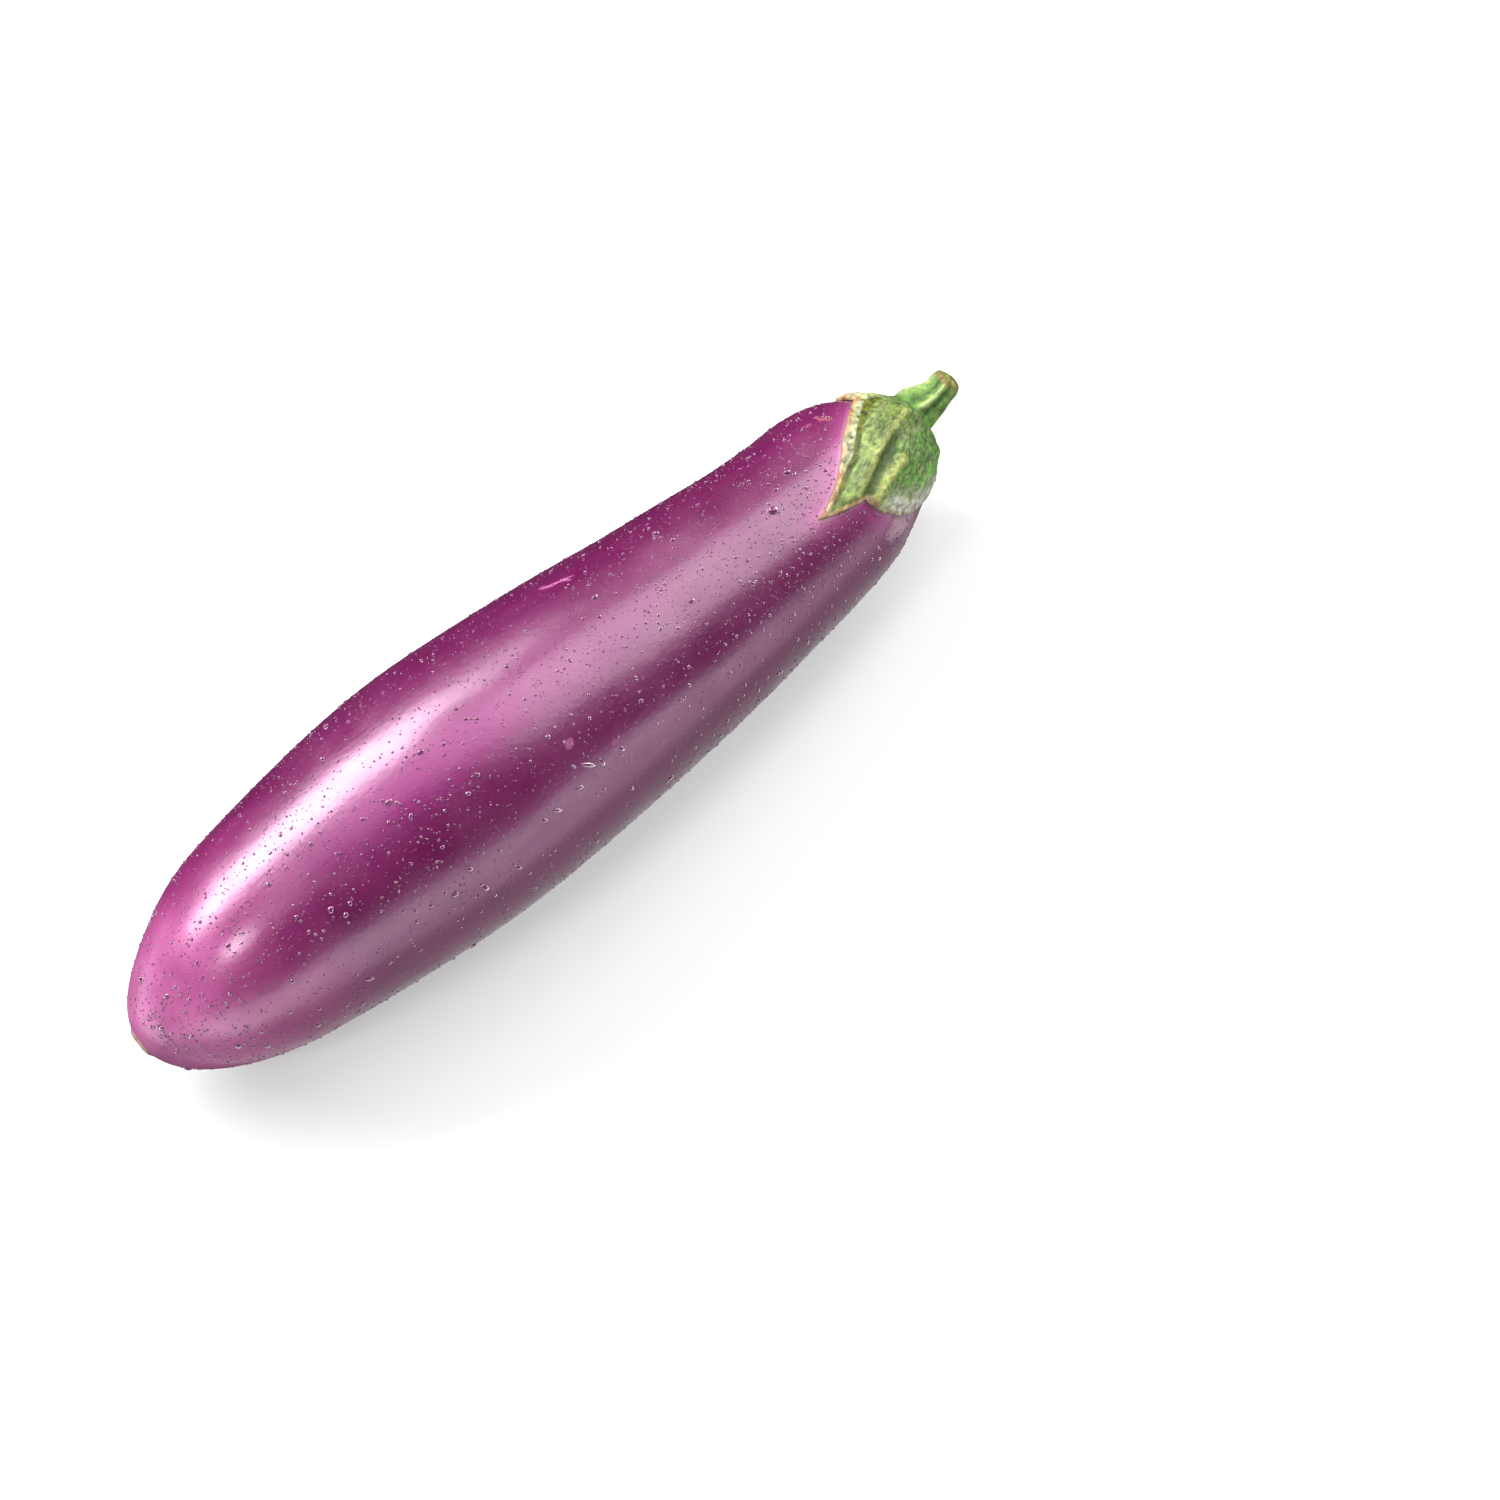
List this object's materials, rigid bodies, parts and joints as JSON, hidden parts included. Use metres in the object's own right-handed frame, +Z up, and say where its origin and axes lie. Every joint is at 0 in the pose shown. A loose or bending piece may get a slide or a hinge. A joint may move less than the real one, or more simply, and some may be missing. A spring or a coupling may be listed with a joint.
{
  "type": "eggplant",
  "caption": "Long, slender purple eggplant lying on its belly, with a lobed green calyx and a short cut stem.",
  "frame": {"origin": "on the floor, under the middle of the whole length and width", "axes": "+X along the fruit from the blossom scar to the stem, +Z up"},
  "size_m": [0.206, 0.0522, 0.0514],
  "materials": {
    "skin": "glossy, waxy fruit skin",
    "calyx": "satin, fleshy plant tissue"
  },
  "bodies": {
    "root": {"fruit": "skin", "calyx_with_stem": "calyx"}
  },
  "joints": []
}
